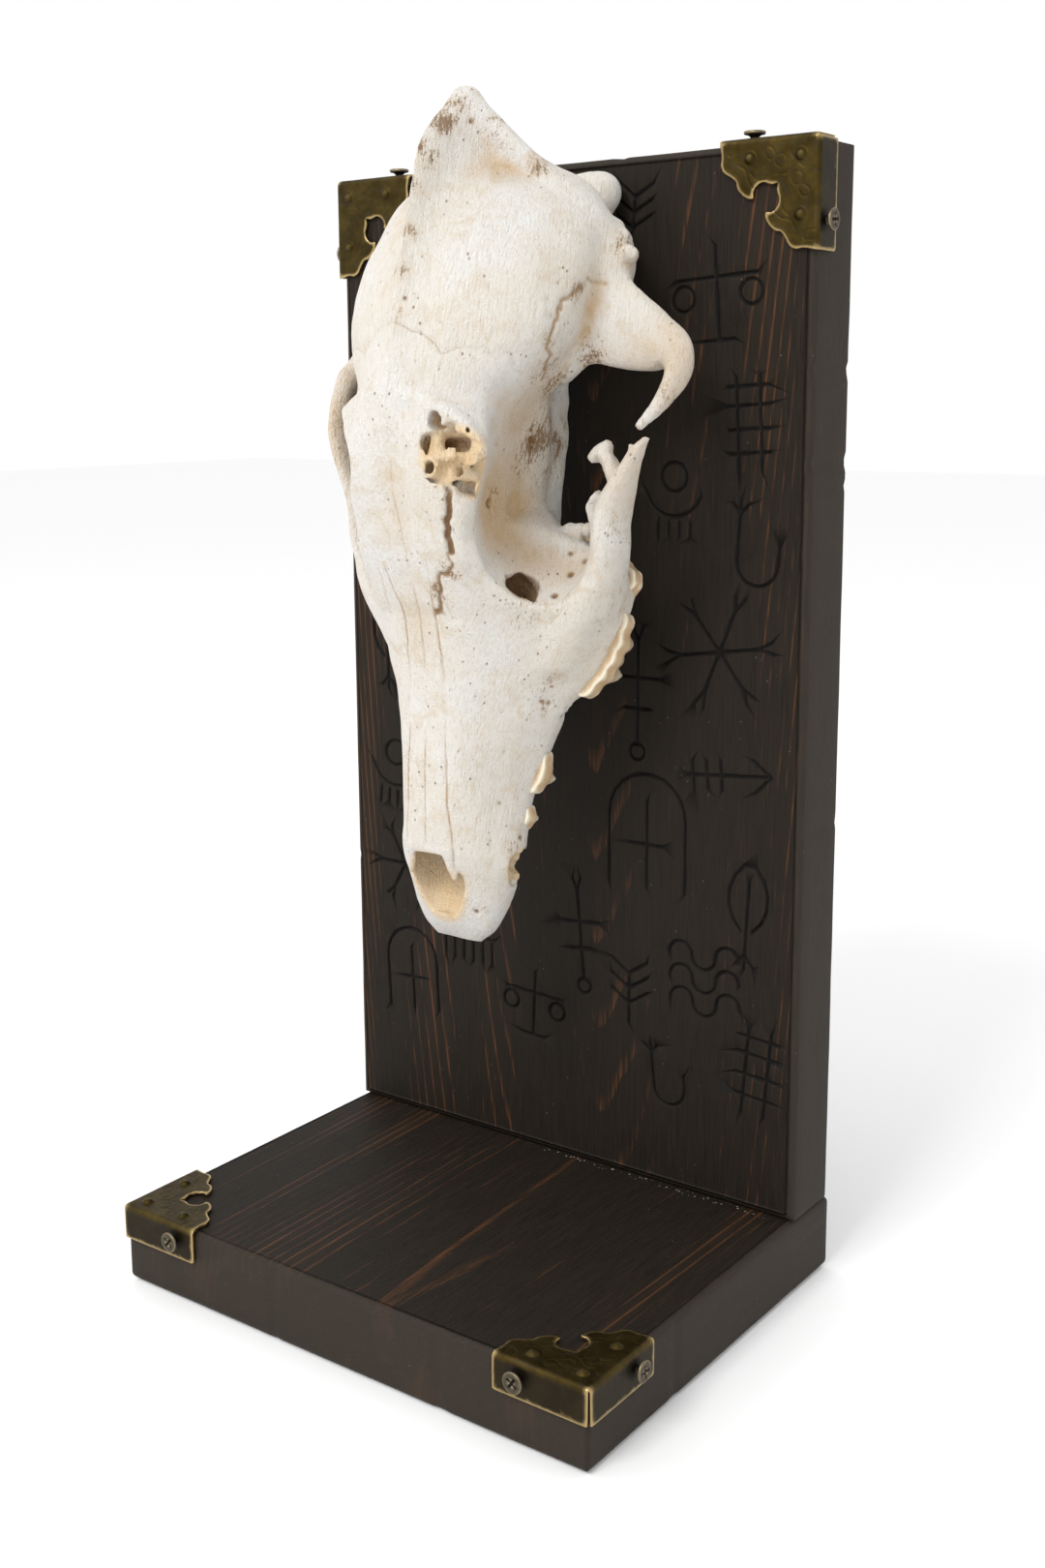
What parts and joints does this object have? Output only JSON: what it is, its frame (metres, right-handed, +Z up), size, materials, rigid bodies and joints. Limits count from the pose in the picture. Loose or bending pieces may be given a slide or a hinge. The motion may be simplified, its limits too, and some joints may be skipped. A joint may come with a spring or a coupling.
{
  "type": "mounted coyote skull",
  "caption": "Weathered coyote skull without lower jaw, fixed nose down on an L-shaped stand of dark stained board with engraved marks and brass box corners.",
  "frame": {"origin": "centre of the base board's underside", "axes": "+Z up along the back board, the front of the stand faces -Y, +X is on the viewer's right and is the skull's own left"},
  "size_m": [0.1462, 0.1131, 0.2887],
  "materials": {
    "bone": "dry matte bone with tan and brown stains",
    "tooth": "dull ivory enamel",
    "stained_wood": "charcoal stain with brown grain showing through",
    "aged_brass": "darkened brass with worn edges",
    "screw_metal": "dull darkened screw"
  },
  "bodies": {
    "root": {"skull": "bone", "premolar_1_left": "tooth", "premolar_2_left": "tooth", "carnassial_left": "tooth", "molar_1_left": "tooth", "molar_2_left": "tooth", "premolar_1_right": "tooth", "premolar_2_right": "tooth", "carnassial_right": "tooth", "molar_1_right": "tooth", "molar_2_right": "tooth", "skull_screw": "screw_metal", "corner_top_right": "aged_brass", "screw_top_right_upper": "screw_metal", "screw_top_right_side": "screw_metal", "corner_top_left": "aged_brass", "screw_top_left_side": "screw_metal", "screw_top_left_upper": "screw_metal", "corner_base_right": "aged_brass", "screw_base_right_side": "screw_metal", "screw_base_right_front": "screw_metal", "corner_base_left": "aged_brass", "screw_base_left_front": "screw_metal", "screw_base_left_side": "screw_metal", "base_board": "stained_wood", "back_board": "stained_wood"}
  },
  "joints": []
}
